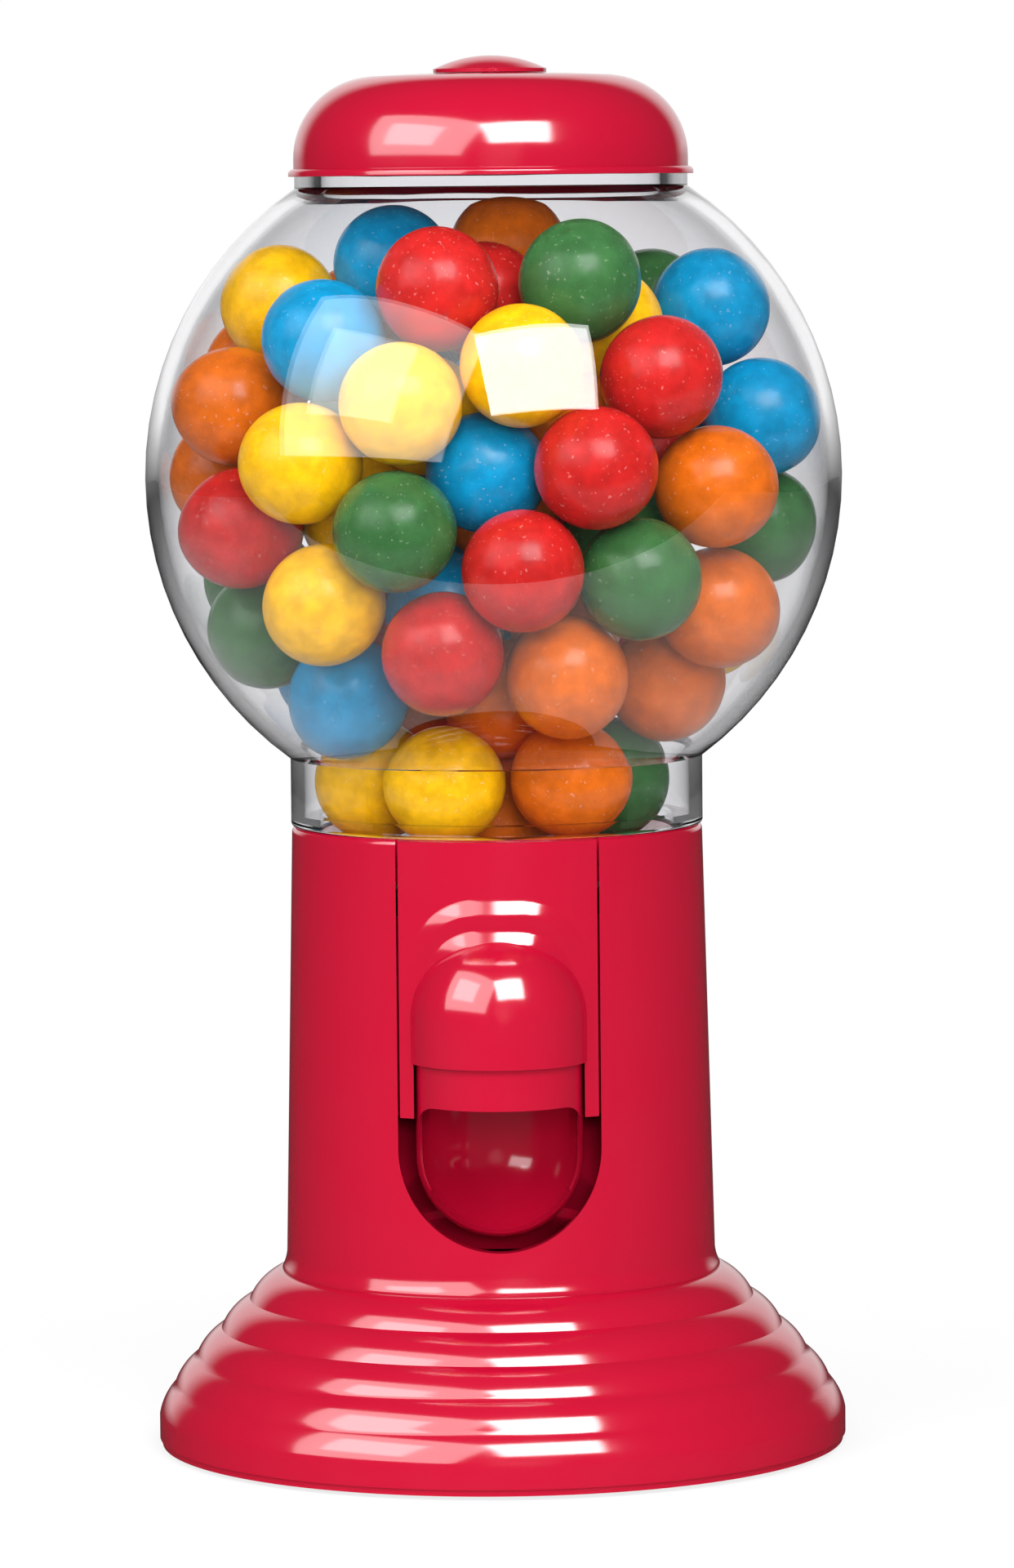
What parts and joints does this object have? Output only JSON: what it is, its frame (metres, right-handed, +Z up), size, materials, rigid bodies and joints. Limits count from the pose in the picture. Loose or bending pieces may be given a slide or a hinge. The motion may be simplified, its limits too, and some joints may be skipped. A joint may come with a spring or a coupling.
{
  "type": "gumball machine",
  "caption": "Toy gumball machine with a ringed round base, a column with a press-down domed slide and scooped outlet, and a clear globe of mixed gumballs under a lift-off lid.",
  "frame": {"origin": "on the table under the middle of the round base", "axes": "+Z up, the push slide and outlet face -Y, +X to the viewer's right"},
  "size_m": [0.0938, 0.0938, 0.1877],
  "materials": {
    "red_plastic": "glossy moulded red plastic",
    "clear_plastic": "clear moulded styrene",
    "gum_red": "polished red sugar shell",
    "gum_orange": "polished orange sugar shell",
    "gum_yellow": "polished yellow sugar shell",
    "gum_green": "polished dark green sugar shell",
    "gum_blue": "polished blue sugar shell",
    "white_plastic": "plain white moulded plastic",
    "steel": "zinc plated steel",
    "rubber": "matt black rubber"
  },
  "bodies": {
    "stand": {"base": "red_plastic", "base_plate": "red_plastic", "base_screws": "steel", "bracket_screws": "steel", "chute": "red_plastic", "chute_screws": "steel", "column": "red_plastic", "column_screws": "steel", "globe": "clear_plastic", "gumballs_blue": "gum_blue", "gumballs_green": "gum_green", "gumballs_orange": "gum_orange", "gumballs_red": "gum_red", "gumballs_yellow": "gum_yellow", "hopper_plate": "red_plastic", "left_bracket": "white_plastic", "return_spring": "steel", "right_bracket": "white_plastic", "rubber_feet": "rubber"},
    "slide": {"push_slide": "red_plastic", "slide_rack": "white_plastic", "rack_screws": "steel"},
    "drum": {"dispensing_drum": "white_plastic", "drum_pinion": "white_plastic", "pinion_screw": "steel", "gumball_loaded": "gum_blue"},
    "lid": {"lid": "red_plastic", "lid_knob": "red_plastic", "knob_clip": "white_plastic"}
  },
  "joints": [
    {"name": "lid_lift", "type": "slide", "parent": "stand", "child": "lid", "axis": [0, 0, 1], "range_m": [0, 0.03]},
    {"name": "slide_press", "type": "slide", "parent": "stand", "child": "slide", "axis": [0, 0, -1], "range_m": [0, 0.006], "stiffness_N_per_m": 150, "springref_m": -0.005, "deforming": ["return_spring"]},
    {"name": "drum_turn", "type": "hinge", "parent": "stand", "child": "drum", "pos_m": [0, 0, 0.0607], "axis": [1, 0, 0], "range_deg": [0, 102]}
  ],
  "couplings": [
    {"joint": "drum_turn", "follows": "slide_press", "rad_per_m": 296.3}
  ]
}
